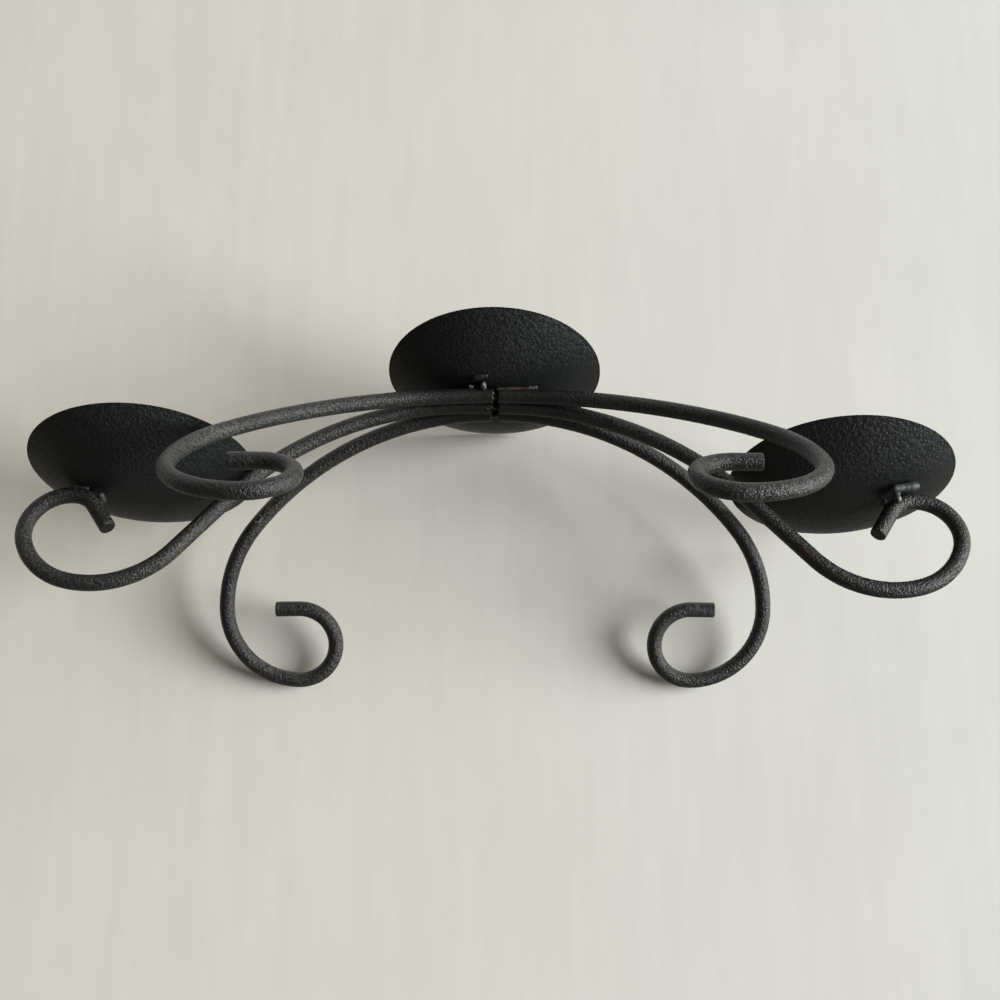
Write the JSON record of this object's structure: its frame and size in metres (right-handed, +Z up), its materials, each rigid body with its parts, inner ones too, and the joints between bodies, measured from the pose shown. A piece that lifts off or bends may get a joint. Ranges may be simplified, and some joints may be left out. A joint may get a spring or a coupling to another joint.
{
  "type": "candle stand",
  "caption": "Low black wrought bar candle stand with splayed scroll legs, a wide scroll arm and shallow round candle dishes over its middle and ends.",
  "frame": {"origin": "middle of the footprint on the table top", "axes": "+X to the right along the wide arm, +Y to the back, +Z up; the front is the side that the front legs splay to"},
  "size_m": [0.362, 0.1538, 0.108],
  "materials": {
    "bar_coat": "black fine-textured satin paint over round steel bar",
    "dish_coat": "black fine-textured satin paint over spun sheet",
    "weld_coat": "thin black paint over lumpy weld, with rust showing through"
  },
  "bodies": {
    "root": {"right_front_leg": "bar_coat", "left_front_leg": "bar_coat", "right_rear_leg": "bar_coat", "left_rear_leg": "bar_coat", "right_arm": "bar_coat", "left_arm": "bar_coat", "centre_dish": "dish_coat", "left_dish": "dish_coat", "right_dish": "dish_coat", "butt_weld": "weld_coat", "centre_weld": "weld_coat", "left_dish_weld": "weld_coat", "right_dish_weld": "weld_coat"}
  },
  "joints": []
}
